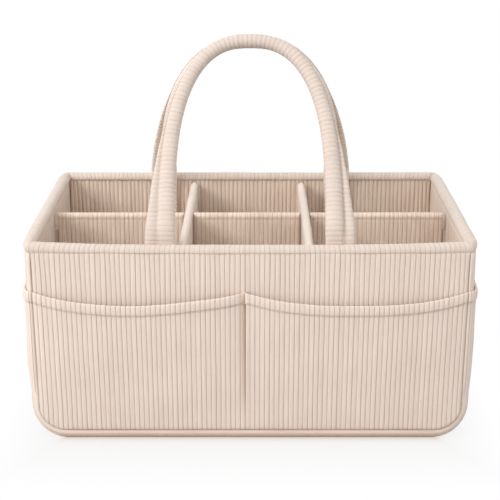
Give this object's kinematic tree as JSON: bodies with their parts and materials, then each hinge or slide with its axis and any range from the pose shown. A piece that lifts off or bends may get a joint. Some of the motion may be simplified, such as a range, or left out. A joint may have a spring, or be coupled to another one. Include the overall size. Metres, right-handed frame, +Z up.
{
  "type": "diaper caddy",
  "caption": "Open fabric caddy with padded ribbed walls, crossed lift-out dividers, outside pockets and a pair of swinging arched handles.",
  "frame": {"origin": "on the floor under the middle of the caddy's bounding box", "axes": "+X along the width to the right as seen from the front, +Y to the back, +Z up"},
  "size_m": [0.3986, 0.2694, 0.3317],
  "materials": {
    "cover_cloth": "ribbed corduroy, matt, warm beige",
    "lining_cloth": "ribbed corduroy lining, matt, warm beige",
    "foam": "closed-cell foam, matt, off-white",
    "stiffener": "pressed felt board, matt",
    "nylon": "hook and loop tape, matt"
  },
  "bodies": {
    "caddy": {"front_cover": "cover_cloth", "back_cover": "cover_cloth", "gusset_cover": "cover_cloth", "front_board": "foam", "back_board": "foam", "left_board": "foam", "right_board": "foam", "base_board": "stiffener", "front_lining": "lining_cloth", "back_lining": "lining_cloth", "gusset_lining": "lining_cloth", "rim_binding": "cover_cloth", "front_pockets": "cover_cloth", "back_pockets": "cover_cloth", "left_pocket": "cover_cloth", "right_pocket": "cover_cloth", "front_left_handle_tab": "cover_cloth", "front_right_handle_tab": "cover_cloth", "back_left_handle_tab": "cover_cloth", "back_right_handle_tab": "cover_cloth", "left_wall_loop": "nylon", "right_wall_loop": "nylon", "front_left_loop": "nylon", "back_left_loop": "nylon", "front_right_loop": "nylon", "back_right_loop": "nylon"},
    "front_handle": {"front_handle_cover": "cover_cloth", "front_handle_core": "foam"},
    "back_handle": {"back_handle_cover": "cover_cloth", "back_handle_core": "foam"},
    "long_divider": {"long_divider_cover": "cover_cloth", "long_divider_board": "stiffener", "long_divider_left_hook": "nylon", "long_divider_right_hook": "nylon"},
    "left_cross_divider": {"left_cross_cover": "cover_cloth", "left_cross_board": "stiffener", "left_cross_front_hook": "nylon", "left_cross_back_hook": "nylon"},
    "right_cross_divider": {"right_cross_cover": "cover_cloth", "right_cross_board": "stiffener", "right_cross_front_hook": "nylon", "right_cross_back_hook": "nylon"}
  },
  "joints": [
    {"name": "front_handle_swing", "type": "hinge", "parent": "caddy", "child": "front_handle", "pos_m": [0, -0.107, 0.1835], "axis": [1, 0, 0], "range_deg": [0, 120]},
    {"name": "back_handle_swing", "type": "hinge", "parent": "caddy", "child": "back_handle", "pos_m": [0, 0.107, 0.1835], "axis": [-1, 0, 0], "range_deg": [0, 120]},
    {"name": "long_divider_lift", "type": "slide", "parent": "caddy", "child": "long_divider", "axis": [0, 0, 1], "range_m": [0, 0.08]},
    {"name": "left_cross_lift", "type": "slide", "parent": "long_divider", "child": "left_cross_divider", "axis": [0, 0, 1], "range_m": [0, 0.08]},
    {"name": "right_cross_lift", "type": "slide", "parent": "long_divider", "child": "right_cross_divider", "axis": [0, 0, 1], "range_m": [0, 0.08]}
  ]
}
